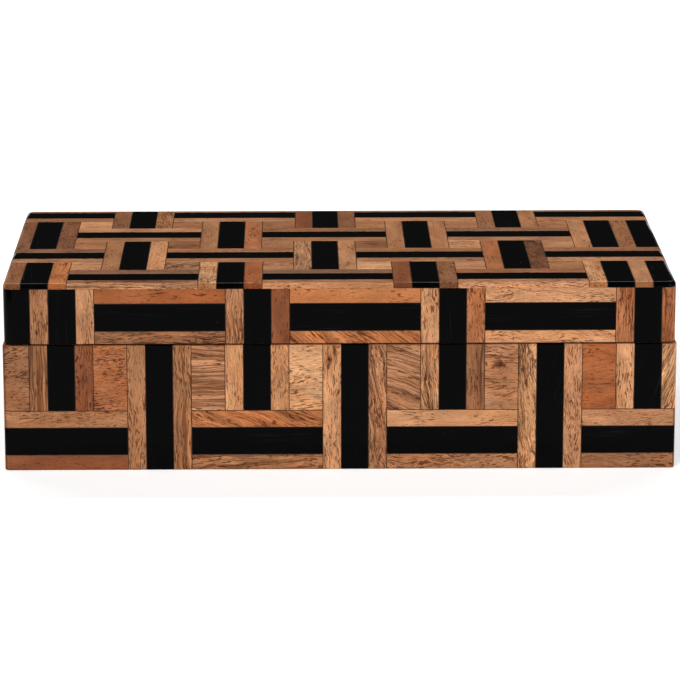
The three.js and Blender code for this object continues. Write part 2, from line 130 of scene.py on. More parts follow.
# What each tile in sight from the front is, by block (column, row) and place in the block
LOOKS = {
    "base_front": {
        (0, 0): {"below": "russet plain", "above": "oak fine"},
        (0, 1): {
            "filler_left": "brown flecked",
            "left": "oak banded",
            "right": "russet fine",
            "filler_right": "rust flecked",
        },
        (1, 0): {"left": "oak fine", "right": "oak streaked"},
        (2, 0): {"below": "oak streaked", "above": "amber slanted"},
        (2, 1): {
            "filler_left": "tan banded",
            "left": "honey fine",
            "right": "honey flecked",
            "filler_right": "cream fine",
        },
        (3, 0): {"left": "honey knotty", "right": "tan curly"},
        (4, 0): {"below": "oak flecked", "above": "honey plain"},
        (4, 1): {
            "filler_left": "tan slanted",
            "left": "honey streaked",
            "right": "brown streaked",
            "filler_right": "tan knotty",
        },
        (5, 0): {"left": "cream curly", "right": "tan fine"},
        (6, 0): {"below": "brown fine", "above": "tan fine"},
        (6, 1): {"filler_left": "cinnamon fine", "left": "honey fine", "right": "cream slanted"},
    },
    "lid_front": {
        (0, 0): {"left": "oak streaked", "right": "tan fine"},
        (1, 0): {"below": "brown streaked", "above": "cinnamon plain"},
        (2, 0): {"left": "tan streaked", "right": "russet plain"},
        (3, 0): {"below": "amber steep", "above": "amber plain"},
        (4, 0): {"left": "honey fine", "right": "rust flecked"},
        (5, 0): {"below": "honey fine", "above": "honey fine"},
        (6, 0): {"left": "rust streaked", "right": "rust streaked"},
    },
    "lid_top": {
        (0, 0): {"left": "brown flecked", "right": "amber fine", "filler": "honey fine"},
        (1, 0): {"below": "fawn streaked", "above": "drab plain", "filler": "sand mottled"},
        (2, 0): {"left": "cream flecked", "right": "cinnamon plain", "filler": "tan flecked"},
        (3, 0): {"below": "oak fine", "above": "drab plain", "filler": "cream plain"},
        (4, 0): {"left": "russet plain", "right": "brown flecked", "filler": "tan plain"},
        (5, 0): {"below": "tan fine", "above": "brown plain", "filler": "oak fine"},
        (6, 0): {"left": "honey fine", "right": "tan plain"},
        (0, 1): {"below": "fawn fine", "above": "drab plain", "filler": "oak fine"},
        (1, 1): {"left": "oak plain", "right": "honey plain", "filler": "brown streaked"},
        (2, 1): {"below": "oak plain", "above": "oak fine", "filler": "oak plain"},
        (3, 1): {"left": "sand streaked", "right": "tan plain", "filler": "brown knotty"},
        (4, 1): {"below": "oak fine", "above": "brown plain", "filler": "honey fine"},
        (5, 1): {"left": "rust plain", "right": "umber mottled", "filler": "tan plain"},
        (6, 1): {"below": "tan fine", "above": "brown plain"},
        (0, 2): {"left": "umber fine", "right": "umber flecked", "filler": "honey plain"},
        (1, 2): {"below": "oak plain", "above": "tan plain", "filler": "oak fine"},
        (2, 2): {"left": "oak fine", "right": "rust plain", "filler": "brown plain"},
        (3, 2): {"below": "oak plain", "above": "brown plain", "filler": "oak plain"},
        (4, 2): {"left": "oak plain", "right": "oak plain", "filler": "oak plain"},
        (5, 2): {"below": "fawn plain", "above": "drab plain", "filler": "oak fine"},
        (6, 2): {"left": "tan plain", "right": "brown fine"},
        (0, 3): {"below": "brown plain", "above": "drab plain"},
        (1, 3): {"left": "umber plain", "right": "oak flecked"},
        (2, 3): {"below": "fawn plain", "above": "drab plain"},
        (3, 3): {"left": "russet plain", "right": "umber plain"},
        (4, 3): {"below": "tan plain", "above": "drab plain"},
        (5, 3): {"left": "brown plain", "right": "oak plain"},
        (6, 3): {"below": "oak plain", "above": "drab plain"},
    },
}

# Knots: how far along and across the grain from the middle of the tile, and the reach, in millimetres
KNOTS = {
    ("base_front", (3, 0), "left"): (22.0, 0.8, 3.6),
    ("base_front", (4, 1), "filler_right"): (-1.0, 6.0, 7.0),
    ("lid_top", (3, 1), "filler"): (0.0, 0.0, 4.0),
}
COMMON_KNOT = (3.0, 0.5, 3.4)
FAR_KNOT = 900.0  # a tile without a knot has it this far away
KNOT_CORE = 0.32  # the dark core's share of the knot's reach

# Cut edges that show at the outside of the box: how deep, and their shade of the tile's tone
EDGE_DEPTH = 0.7
END_GRAIN_SHADE = (0.64, 0.54, 0.42)
SIDE_GRAIN_SHADE = (1.32, 1.32, 1.3)

# How tiles differ by chance: lightness, share of the figure's slant, stray turn in degrees, and how
# far apart their grain lies in the noise, in millimetres
LIGHTNESS = (0.96, 1.04)
SLANT_SHARE = (0.7, 1.2)
STRAY_TURN = 1.5
GRAIN_REACH = 400

# Tones and figures of the tiles that the front view doesn't show
COMMON_TONES = ["honey", "tan", "tan", "oak", "oak", "brown", "umber", "amber", "rust", "russet"]
COMMON_FIGURES = ["plain", "fine", "fine", "flecked", "streaked", "banded", "slanted"]


# Pattern: tiles are rectangles on their face, in millimetres from its lower left corner


def tile(place, block, u0, u1, v0, v1, stands):
    return {
        "place": place,
        "block": block,
        "u0": u0,
        "u1": u1,
        "v0": v0,
        "v1": v1,
        "stands": stands,
        "black": place == "black",
    }


def standing_block(block, u, v0, v1):
    inner, outer = STANDING_BLACK / 2, STANDING_WIDTH / 2
    return [
        tile("left", block, u - outer, u - inner, v0, v1, True),
        tile("black", block, u - inner, u + inner, v0, v1, True),
        tile("right", block, u + inner, u + outer, v0, v1, True),
    ]


def lying_block(block, u0, u1, v):
    inner, outer = LYING_BLACK / 2, LYING_WIDTH / 2
    return [
        tile("below", block, u0, u1, v - outer, v - inner, False),
        tile("black", block, u0, u1, v - inner, v + inner, False),
        tile("above", block, u0, u1, v + inner, v + outer, False),
    ]


def trimmed(tiles, width, height):
    kept = []
    for t in tiles:
        t["u0"], t["u1"] = max(t["u0"], 0), min(t["u1"], width)
        t["v0"], t["v1"] = max(t["v0"], 0), min(t["v1"], height)
        if min(t["u1"] - t["u0"], t["v1"] - t["v0"]) >= LEAST_TILE:
            kept.append(t)
    return kept


def covers(strip, t):
    u, v = (t["u0"] + t["u1"]) / 2, (t["v0"] + t["v1"]) / 2
    return strip["u0"] < u < strip["u1"] and strip["v0"] < v < strip["v1"]


def weave_tiles(width, height, first_column, first_row, row_strays=()):
    """Full basket weave: standing and lying blocks take turns, and fillers sit between them."""
    tiles, end_strips = [], []
    strays = dict(enumerate(row_strays))
    step = COLUMN_STEPS["lid"]
    across, along = step - STANDING_WIDTH / 2, STANDING_LENGTH / 2
    last_row = int((height - first_row) // ROW_STEP) + PAST_BORDER
    last_column = int((width - first_column) // step) + PAST_BORDER
    for row in range(-PAST_BORDER, last_row + 1):
        for column in range(-PAST_BORDER, last_column + 1):
            block = (column, row)
            stands = (row + column) % 2 == 0
            stray, stray_above = strays.get(row, 0.0), strays.get(row + 1, 0.0)
            place = first_column + column * step
            u, v = place + stray, first_row + row * ROW_STEP
            if stands:
                tiles += standing_block(block, u, v - along, v + along)
            else:
                tiles += lying_block(block, u - across, u + across, v)
                if min(u + across, width) - max(u - across, 0) < LEAST_LYING:
                    strip = tile("black", block, u - across, u + across, v - along, v + along, True)
                    end_strips.append(strip)
            left = place + STANDING_WIDTH / 2 + (stray if stands else stray_above)
            right = place + across + (stray_above if stands else stray)
            low, high = v + LYING_WIDTH / 2, v + ROW_STEP - LYING_WIDTH / 2
            tiles.append(tile("filler", block, left, right, low, high, False))
    strips = trimmed(end_strips, width, height)
    laid = [t for t in trimmed(tiles, width, height) if not any(covers(s, t) for s in strips)]
    return laid + strips


def skirt_tiles(width, height, first_column):
    """The base: full-height blocks, and between them a lying block with a short standing one above."""
    tiles = []
    step = COLUMN_STEPS["base"]
    side = STANDING_WIDTH / 2
    half, foot_top = step - side, BASE_ROW + LYING_WIDTH / 2
    last_pair = int((width - first_column) // (2 * step)) + 1
    for pair in range(-1, last_pair + 1):
        u = first_column + 2 * pair * step
        upper = (2 * pair, 1)
        tiles += standing_block((2 * pair + 1, 0), u + step, 0, height)
        tiles += lying_block((2 * pair, 0), u - half, u + half, BASE_ROW)
        tiles += standing_block(upper, u, foot_top, height)
        tiles.append(tile("filler_left", upper, u - half, u - side, foot_top, height, False))
        tiles.append(tile("filler_right", upper, u + side, u + half, foot_top, height, False))
    return trimmed(tiles, width, height)


# Faces: u runs to the right and v up as seen from outside, and w out of the face

ACROSS = {
    "front": Vector((1, 0, 0)),
    "right": Vector((0, 1, 0)),
    "back": Vector((-1, 0, 0)),
    "left": Vector((0, -1, 0)),
}
UP = Vector((0, 0, 1))


class Face:
    """One faced side of the base or lid, placed by its solid's box. Lengths are in millimetres."""

    def __init__(self, name, half):
        self.name = name
        self.half = half
        low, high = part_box(name + "_tiles")
        low, high = low / MM, high / MM
        side = name.split("_")[1]
        self.is_top = side == "top"
        self.across = Vector((1, 0, 0)) if self.is_top else ACROSS[side]
        self.up = Vector((0, 1, 0)) if self.is_top else UP
        self.out = self.across.cross(self.up)
        self.length = abs((high - low).dot(self.across))
        self.height = abs((high - low).dot(self.up))
        self.thickness = abs((high - low).dot(self.out))
        self.is_long = side in ("front", "back")
        self.has_mortises = side == "back"
        ways = self.across + self.up + self.out
        self.origin = Vector([high[i] if ways[i] < 0 else low[i] for i in range(3)])

    def point(self, u, v, w):
        return self.origin + self.across * u + self.up * v + self.out * w


class Half:
    """The base or the lid: its sharp outer box, in millimetres, and where its edge is rounded."""

    def __init__(self, name, corner_radius, edge_radius):
        self.name = name
        self.corner_radius = corner_radius
        self.edge_radius = edge_radius
        corners = [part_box(f"{name}_{side}_tiles") for side in ACROSS]
        if name == "lid":
            corners.append(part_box("lid_top_tiles"))
        self.x = max(high.x for _, high in corners) / MM
        self.y = max(high.y for _, high in corners) / MM
        self.z0 = min(low.z for low, _ in corners) / MM
        self.z1 = max(high.z for _, high in corners) / MM

    def wear(self, p):
        """How strongly the painted highlight line along the lid's top edge covers a point of the sharp box,
        from 0 to 1.
        """
        depth = min(self.x - abs(p.x), self.y - abs(p.y))
        if self.name == "base" or self.z1 - p.z > GLUE_LINE or depth > self.edge_radius:
            return 0.0
        turned = math.degrees(math.atan2(self.edge_radius - depth, self.edge_radius))
        return max(0.0, 1.0 - abs(turned - HIGHLIGHT_TURN) / HIGHLIGHT_SPREAD)

    def ease(self, p):
        """Moves a point of the sharp box onto the eased one."""
        sx, sy = math.copysign(1, p.x), math.copysign(1, p.y)
        a, b = self.x - abs(p.x), self.y - abs(p.y)
        normal, depth, radius = None, min(a, b), self.corner_radius
        if a < radius and b < radius:
            a, b = rounded(a, b, radius)
            q = Vector((radius - a, radius - b))
            depth = radius - q.length
            normal = Vector((sx * q.x, sy * q.y, 0)).normalized() if q.length > 0 else None
            p = Vector((sx * (self.x - a), sy * (self.y - b), p.z))
        if normal is None:
            normal = Vector((sx, 0, 0)) if a < b else Vector((0, sy, 0))
        fall = self.z1 - p.z if self.name == "lid" else p.z - self.z0
        if depth < self.edge_radius and fall < self.edge_radius:
            new_depth, new_fall = rounded(depth, fall, self.edge_radius)
            p = p - normal * (new_depth - depth)
            p.z = self.z1 - new_fall if self.name == "lid" else self.z0 + new_fall
        return p


def rounded(a, b, radius):
    """Distances from two faces at a sharp edge, moved so that the edge becomes an arc."""
    if a >= radius or b >= radius:
        return a, b
    p, q = radius - a, radius - b
    share = max(p, q) / math.hypot(p, q)
    return radius - p * share, radius - q * share


def arc_lines(radius, steps=ARC_STEPS):
    """Distances from a sharp edge whose points divide the arc evenly."""
    return [radius * (1 - math.tan(math.radians(45 * i / steps))) for i in range(steps + 1)]


def spread(low, high, from_low, from_high):
    """Sorted grid lines from low to high, with extra ones at the given distances from each end."""
    found = [low, high]
    found += [low + d for d in from_low if low + d < high]
    found += [high - d for d in from_high if high - d > low]
    lines = []
    for x in sorted(found):
        if not lines or x - lines[-1] > SAME_LINE:
            lines.append(x)
    return lines


class MeshData:
    """Vertices, faces and tile values gathered for one mesh."""

    def __init__(self):
        self.points, self.faces = [], []
        self.values = {"grain": [], "tone": [], "figure": [], "knot": [], "wear": []}

    def add_block(self, face, box, ends, holes, values_at):
        """A closed block on a face. ends says, for each of its four sides, how it is eased."""
        u0, u1, v0, v1, w0, w1 = box
        corner_lines, edge_lines = arc_lines(face.half.corner_radius), arc_lines(face.half.edge_radius)
        easing = {
            "tile": [TILE_EASE, 0],
            "corner": corner_lines,
            "past corner": [d - face.thickness for d in corner_lines if d > face.thickness],
            "edge": edge_lines,
            "both": corner_lines + edge_lines,
        }
        us = spread(u0, u1, easing[ends[0]], easing[ends[1]])
        vs = spread(v0, v1, easing[ends[2]], easing[ends[3]])
        ws = spread(w0, w1, [], sorted({d for end in ends for d in easing[end]}))
        for hole in holes:
            us = sorted(set(us + [x for x in hole[:2] if u0 < x < u1]))
            vs = sorted(set(vs + [x for x in hole[2:] if v0 < x < v1]))

        def there(i, j):
            if not (0 <= i < len(us) - 1 and 0 <= j < len(vs) - 1):
                return False
            u, v = (us[i] + us[i + 1]) / 2, (vs[j] + vs[j + 1]) / 2
            return not any(h[0] < u < h[1] and h[2] < v < h[3] for h in holes)

        index = {}

        def corner(i, j, k):
            if (i, j, k) in index:
                return index[i, j, k]
            u, v, w = us[i], vs[j], ws[k]
            down = w1 - w
            for end, near in enumerate((u - u0, u1 - u, v - v0, v1 - v)):
                if ends[end] == "tile" and near < TILE_EASE and down < TILE_EASE:
                    inward, down = rounded(near, down, TILE_EASE)
                    shift = (inward - near) * (1 if end in (0, 2) else -1)
                    if end < 2:
                        u += shift
                    else:
                        v += shift
            p = face.half.ease(face.point(u, v, w1 - down))
            index[i, j, k] = len(self.points)
            self.points.append(p * MM)
            for key, value in values_at(us[i], vs[j], ws[k]).items():
                self.values[key].append(value)
            # Share of the painted highlight line along the lid's top edge, read by the materials
            self.values["wear"].append((face.half.wear(face.point(us[i], vs[j], ws[k])), 0, 0))
            return index[i, j, k]

        top = len(ws) - 1
        for i in range(len(us) - 1):
            for j in range(len(vs) - 1):
                if not there(i, j):
                    continue
                ring = [(i, j), (i + 1, j), (i + 1, j + 1), (i, j + 1)]
                self.faces.append([corner(a, b, top) for a, b in ring])
                self.faces.append([corner(a, b, 0) for a, b in reversed(ring)])
                beyond = [(i, j - 1), (i + 1, j), (i, j + 1), (i - 1, j)]
                for n, other in enumerate(beyond):
                    if there(*other):
                        continue
                    (a, b), (c, d) = ring[n], ring[(n + 1) % 4]
                    for k in range(top):
                        self.faces.append(
                            [corner(a, b, k), corner(c, d, k), corner(c, d, k + 1), corner(a, b, k + 1)]
                        )

    def build(self, name, material):
        mesh = bpy.data.meshes.new(name)
        mesh.from_pydata(self.points, [], self.faces)
        for key, rows in self.values.items():
            if not rows:
                continue
            attribute = mesh.attributes.new(key, "FLOAT_VECTOR", "POINT")
            attribute.data.foreach_set("vector", [x for row in rows for x in row])
        mesh.materials.append(material)
        mesh.update()
        for polygon in mesh.polygons:
            polygon.use_smooth = max(abs(x) for x in polygon.normal) < FLAT_ENOUGH
        made = bpy.data.objects.new(name, mesh)
        bpy.context.scene.collection.objects.link(made)
        return made


def linear(tone):
    """A tone from 0 to 255 as linear light."""
    return tuple((x / 255) ** 2.2 for x in tone)


def edge_shade(face, t, u, v):
    """Where a tile's edge shows at the outside of the box, its end grain is darker and its side lighter."""
    past_end = min(u, face.length - u) < EDGE_DEPTH and (face.is_top or face.is_long)
    past_side = min(v, face.height - v) < EDGE_DEPTH and face.is_top
    if not (past_end or past_side):
        return (1.0, 1.0, 1.0)
    cut_across = t["stands"] if past_side else not t["stands"]
    return END_GRAIN_SHADE if cut_across else SIDE_GRAIN_SHADE


def tile_values(t, face, rng):
    """What the materials read at each point of a tile: grain place, tone, figure and knot."""
    name = LOOKS.get(face.name, {}).get(t["block"], {}).get(t["place"])
    tone, figure = name.split() if name else (rng.choice(COMMON_TONES), rng.choice(COMMON_FIGURES))
    fibre, fleck, band, slant, shortness = FIGURES[figure]
    lightness = rng.uniform(*LIGHTNESS)
    colour = tuple(lightness * x for x in linear(TONES[tone]))
    slant = slant * rng.uniform(*SLANT_SHARE) + rng.uniform(-STRAY_TURN, STRAY_TURN)
    turn = math.radians(slant + (90 if t["stands"] else 0))
    shift = Vector([rng.uniform(0, GRAIN_REACH) for _ in range(3)])
    centre_u, centre_v = (t["u0"] + t["u1"]) / 2, (t["v0"] + t["v1"]) / 2
    along = Vector((math.cos(turn), math.sin(turn)))
    across = Vector((-math.sin(turn), math.cos(turn)))
    knot = (shift.x + FAR_KNOT, shift.y, 1.0)
    if figure == "knotty":
        knot_along, knot_across, reach = KNOTS.get((face.name, t["block"], t["place"]), COMMON_KNOT)
        knot = (shift.x + knot_along * shortness, shift.y + knot_across, reach)

    def values(u, v, w):
        d = Vector((u - centre_u, v - centre_v))
        shade = edge_shade(face, t, u, v)
        return {
            "grain": (d.dot(along) * shortness + shift.x, d.dot(across) + shift.y, w + shift.z),
            "tone": tuple(a * b for a, b in zip(colour, shade)),
            "figure": (fibre, fleck, band),
            "knot": knot,
        }

    return values


def end_kinds(face, t):
    """How each side of a tile is eased: at the box's own corners and edges, or as a laid tile."""
    if face.is_top:
        corner, foot, head = "both", "both", "both"
    else:
        corner = "corner" if face.is_long else "past corner"
        foot = "edge" if face.half.name == "base" else "tile"
        head = "tile"
    return [
        corner if t["u0"] <= 0 else "tile",
        corner if t["u1"] >= face.length else "tile",
        foot if t["v0"] <= 0 else "tile",
        head if t["v1"] >= face.height else "tile",
    ]


def mortises(face):
    """Rectangles of a back face that the hinge leaves need, in its own millimetres."""
    if not face.has_mortises:
        return []
    if face.half.name == "base":
        v0, v1 = face.height - MORTISE_DEEP, face.height + 1
    else:
        v0, v1 = -1, MORTISE_DEEP
    middle = face.length / 2
    return [(middle + x - MORTISE_HALF, middle + x + MORTISE_HALF, v0, v1) for x in (-HINGE_X, HINGE_X)]


def face_tiles(face):
    if face.is_top:
        return weave_tiles(face.length, face.height, TOP_FIRST_COLUMN, TOP_FIRST_ROW, TOP_ROW_STRAYS)
    if face.half.name == "base":
        first = BASE_LONG_FIRST_COLUMN if face.is_long else BASE_SHORT_FIRST_COLUMN
        return skirt_tiles(face.length, face.height, first)
    first = LID_LONG_FIRST_COLUMN if face.is_long else LID_SHORT_FIRST_COLUMN
    return weave_tiles(face.length, face.height, first, LID_ROW)


def seam_eases(face):
    """How far the tiles stay back from the seam, at the bottom and at the top of a face."""
    if face.half.name == "base":
        return 0.0, SEAM_EASE
    return (0.0 if face.is_top else SEAM_EASE), 0.0


def make_facing(face, wood, black, glue):
    """The tiles, the black strips and the glue bed of one face, each as one piece."""
    rng = random.Random(face.name)
    data = {False: MeshData(), True: MeshData()}
    holes = mortises(face)
    gap = GLUE_LINE / 2
    bottom_gap, top_gap = seam_eases(face)
    for t in face_tiles(face):
        box = (
            t["u0"] + (gap if t["u0"] > 0 else 0),
            t["u1"] - (gap if t["u1"] < face.length else 0),
            t["v0"] + (gap if t["v0"] > 0 else bottom_gap),
            t["v1"] - (gap if t["v1"] < face.height else top_gap),
            0.0,
            face.thickness,
        )
        inside = [h for h in holes if h[0] < box[1] and h[1] > box[0] and h[2] < box[3] and h[3] > box[2]]
        data[t["black"]].add_block(face, box, end_kinds(face, t), inside, tile_values(t, face, rng))
    pieces = [
        (data[False].build(face.name + "_wood", wood), "_tiles", "tile_wood"),
        (data[True].build(face.name + "_black", black), "_black_inlay", "black_inlay"),
        (glue_bed(face, holes).build(face.name + "_glue", glue), "_tiles", None),
    ]
    for piece, node, slot in pieces:
        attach(piece, face.half.name)
        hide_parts(face.name + node)


def glue_bed(face, holes):
    """One block under all of a face's tiles, which shows as dark glue in the lines between them."""
    bed = MeshData()
    whole = {"u0": 0, "u1": face.length, "v0": 0, "v1": face.height}
    s = GLUE_SINK
    bottom_gap, top_gap = seam_eases(face)
    box = (s, face.length - s, bottom_gap + s, face.height - top_gap - s, s, face.thickness - s)
    bed.add_block(face, box, end_kinds(face, whole), holes, lambda u, v, w: {})
    return bed


# Materials


# Sockets of a mix node that are for colours, since its names stand for other kinds too
MIX_SHARE, MIX_COLOUR_A, MIX_COLOUR_B, MIX_COLOUR_OUT = 0, 6, 7, 2


class Shader:
    """One material and short ways to add nodes to it."""

    def __init__(self, name):
        self.material = bpy.data.materials.new(name)
        self.material.use_nodes = True
        self.tree = self.material.node_tree
        self.surface = self.tree.nodes["Principled BSDF"]

    def feed(self, socket, value):
        if isinstance(value, bpy.types.NodeSocket):
            self.tree.links.new(value, socket)
        else:
            socket.default_value = value

    def node(self, kind, *inputs, out=0, **settings):
        made = self.tree.nodes.new(kind)
        for key, value in settings.items():
            setattr(made, key, value)
        for socket, value in zip(made.inputs, inputs):
            if value is not None:
                self.feed(socket, value)
        return made.outputs[out]

    def attribute(self, name):
        return self.node("ShaderNodeAttribute", out="Vector", attribute_name=name)

    def own_place(self):
        """Place in the object's own frame, in millimetres."""
        return self.scaled(self.node("ShaderNodeTexCoord", out="Object"), (1 / MM,) * 3)

    def split(self, vector):
        made = self.tree.nodes.new("ShaderNodeSeparateXYZ")
        self.feed(made.inputs[0], vector)
        return made.outputs

    def join(self, x, y, z):
        return self.node("ShaderNodeCombineXYZ", x, y, z)

    def math(self, operation, a, b=0.0, c=0.0):
        return self.node("ShaderNodeMath", a, b, c, operation=operation)

    def scaled(self, vector, scale):
        return self.node("ShaderNodeVectorMath", vector, scale, operation="MULTIPLY")

    def noise(self, vector, scale, detail=2.0, roughness=0.5):
        """Noise whose features are 1 / scale long on each axis."""
        made = self.tree.nodes.new("ShaderNodeTexNoise")
        self.feed(made.inputs["Vector"], self.scaled(vector, scale))
        made.inputs["Scale"].default_value = 1.0
        made.inputs["Detail"].default_value = detail
        made.inputs["Roughness"].default_value = roughness
        return made.outputs[0]

    def step(self, value, low, high, to_low=0.0, to_high=1.0):
        """Smooth step from low to high."""
        made = self.tree.nodes.new("ShaderNodeMapRange")
        made.interpolation_type = "SMOOTHSTEP"
        for socket, x in zip(made.inputs, (value, low, high, to_low, to_high)):
            self.feed(socket, x)
        return made.outputs[0]

    def blend(self, share, a, b, mode="MIX"):
        """Colours a and b, by share."""
        made = self.tree.nodes.new("ShaderNodeMix")
        made.data_type, made.blend_type = "RGBA", mode
        self.feed(made.inputs[MIX_SHARE], share)
        self.feed(made.inputs[MIX_COLOUR_A], a)
        self.feed(made.inputs[MIX_COLOUR_B], b)
        return made.outputs[MIX_COLOUR_OUT]

    def bump(self, height, distance, strength=1.0):
        made = self.tree.nodes.new("ShaderNodeBump")
        made.inputs["Strength"].default_value = strength
        made.inputs["Distance"].default_value = distance
        self.feed(made.inputs["Height"], height)
        return made.outputs[0]

    def finish(self, **inputs):
        for key, value in inputs.items():
            self.feed(self.surface.inputs[key.replace("_", " ")], value)
        return self.material


def tinted(s, colour, tint):
    return s.blend(1.0, colour, (*tint, 1), "MULTIPLY")


def marked(s, colour, share, tint):
    """A colour with marks of a darker tint of itself."""
    return s.blend(share, colour, tinted(s, colour, tint))


# How light the wood is before its marks darken it, and what each kind of mark makes of its tone
LEVEL = 1.27
WOOD_TINTS = {
    "reddish": (0.98, 0.87, 0.76),
    "band": (0.5, 0.44, 0.4),
    "streak": (0.37, 0.28, 0.23),
    "knot": (0.6, 0.47, 0.4),
    "core": (0.2, 0.13, 0.11),
    "dash": (0.26, 0.18, 0.13),
}
# Painted highlight: the light colour of the wood along the lid's rounded top edge
WOOD_EDGE_HIGHLIGHT = (0.62, 0.42, 0.25, 1)
WOOD_WANDER = 8.0  # how far the grain strays sideways, in millimetres
ALONG_KNOT = 0.55  # a knot is stretched along the grain by the inverse of this
FLOW_ROUND_KNOT = 0.55  # how far the grain gives way to a knot


def tile_wood():
    """Lacquered wood whose grain, tone, figure and knot come from each tile's own values; painted highlight
    on the lid's top edge.
    """
    s = Shader("lacquered_wood_tiles")
    grain = s.attribute("grain")
    tone = s.attribute("tone")
    fibre_share, fleck_share, band_share = s.split(s.attribute("figure"))
    knot_along, knot_across, knot_size = s.split(s.attribute("knot"))
    along, across, depth = s.split(grain)

    # The grain wanders sideways, and runs round the knot
    wander = s.noise(grain, (0.04, 0.1, 0.1), detail=2.0)
    across_here = s.math("MULTIPLY_ADD", wander, WOOD_WANDER, across)
    da = s.math("MULTIPLY", s.math("SUBTRACT", along, knot_along), ALONG_KNOT)
    db = s.math("SUBTRACT", across, knot_across)
    reach = s.math("SQRT", s.math("ADD", s.math("MULTIPLY", da, da), s.math("MULTIPLY", db, db)))
    ratio = s.math("DIVIDE", reach, knot_size)
    round_knot = s.math("EXPONENT", s.math("MULTIPLY", s.math("MULTIPLY", ratio, ratio), -1.0))
    core_noise = s.noise(grain, (0.5, 0.8, 0.8), detail=2.0)
    core = s.step(s.math("MULTIPLY_ADD", core_noise, 0.5, ratio), KNOT_CORE, KNOT_CORE * 2, 1.0, 0.0)
    give_way = s.math("MULTIPLY", s.math("MULTIPLY", db, round_knot), FLOW_ROUND_KNOT)
    flow = s.math("SUBTRACT", across_here, give_way)
    place = s.join(along, flow, depth)

    # Noises, drawn out along the grain
    fibres = s.noise(place, (0.14, 2.2, 2.2), detail=2.0, roughness=0.6)
    streak_noise = s.noise(place, (0.03, 1.2, 1.2), detail=2.0, roughness=0.55)
    band_noise = s.noise(place, (0.02, 0.24, 0.24), detail=1.0)
    dash_noise = s.noise(place, (0.3, 2.1, 2.1), detail=1.0)
    grit_noise = s.noise(place, (0.6, 3.4, 3.4), detail=1.0)
    dash_patch = s.noise(grain, (0.05, 0.12, 0.12), detail=1.0)
    patch = s.noise(grain, (0.05, 0.14, 0.14), detail=2.0)
    redness = s.noise(grain, (0.03, 0.13, 0.13), detail=1.0)

    # Dark marks, cut from the noises: pores as dashes and grit, and streaks and bands of the figure
    dash_edge = s.math("MULTIPLY_ADD", fleck_share, -0.1, s.step(dash_patch, 0.4, 0.6, 0.71, 0.59))
    dashes = s.step(s.math("SUBTRACT", dash_noise, dash_edge), 0.0, 0.04)
    grit_edge = s.math("MULTIPLY_ADD", fleck_share, -0.07, 0.66)
    grit = s.step(s.math("SUBTRACT", grit_noise, grit_edge), 0.0, 0.05, 0.0, 0.7)
    dashes = s.math("MAXIMUM", dashes, grit)
    band_here = s.math("ADD", band_share, s.math("MULTIPLY", round_knot, 1.1))
    streak_edge = s.math("MULTIPLY_ADD", band_here, -0.12, 0.65)
    streaks = s.step(s.math("SUBTRACT", streak_noise, streak_edge), 0.0, 0.06)
    bands = s.math("MULTIPLY", s.step(band_noise, 0.48, 0.64), s.math("MULTIPLY", band_share, 0.5))

    # The tile's tone, shaded by fibres and patches, then darkened by each kind of mark
    shade = s.math("MULTIPLY", s.math("SUBTRACT", fibres, 0.5), s.math("MULTIPLY", fibre_share, 1.9))
    shade = s.math("ADD", shade, s.math("MULTIPLY", s.math("SUBTRACT", patch, 0.5), 1.4))
    level = s.math("ADD", LEVEL, shade)
    colour = s.blend(1.0, tone, s.join(level, level, level), "MULTIPLY")
    marks = (
        (s.step(redness, 0.4, 0.64, 0.0, 0.7), "reddish"),
        (bands, "band"),
        (s.math("MULTIPLY", streaks, 0.75), "streak"),
        (s.math("MULTIPLY", round_knot, 0.4), "knot"),
        (s.math("MULTIPLY", core, 0.85), "core"),
        (s.math("MULTIPLY", dashes, 0.9), "dash"),
    )
    for share, kind in marks:
        colour = marked(s, colour, share, WOOD_TINTS[kind])

    # Painted highlight along the lid's rounded top edge, patchy
    worn = s.math("MULTIPLY", s.split(s.attribute("wear"))[0], s.step(patch, 0.35, 0.65, 0.05, 0.35))
    colour = s.blend(worn, colour, WOOD_EDGE_HIGHLIGHT)
    roughness = s.math("ADD", s.math("MULTIPLY", dashes, 0.1), s.step(fibres, 0.3, 0.7, 0.44, 0.52))
    height = s.math("SUBTRACT", s.math("MULTIPLY", fibres, 0.25), dashes)
    s.surface.inputs["Specular IOR Level"].default_value = 0.14
    return s.finish(Base_Color=colour, Roughness=roughness, Normal=s.bump(height, 0.02 * MM))


BLACKS = {
    "deep": (0.0006, 0.0006, 0.0007, 1),
    "hazy": (0.0016, 0.0015, 0.0015, 1),
    "streak": (0.02, 0.021, 0.022, 1),
    "pinhole": (0.12, 0.12, 0.12, 1),
    # The last colour is a painted highlight for the lid's rounded top edge
    "worn": (0.075, 0.078, 0.08, 1),
}


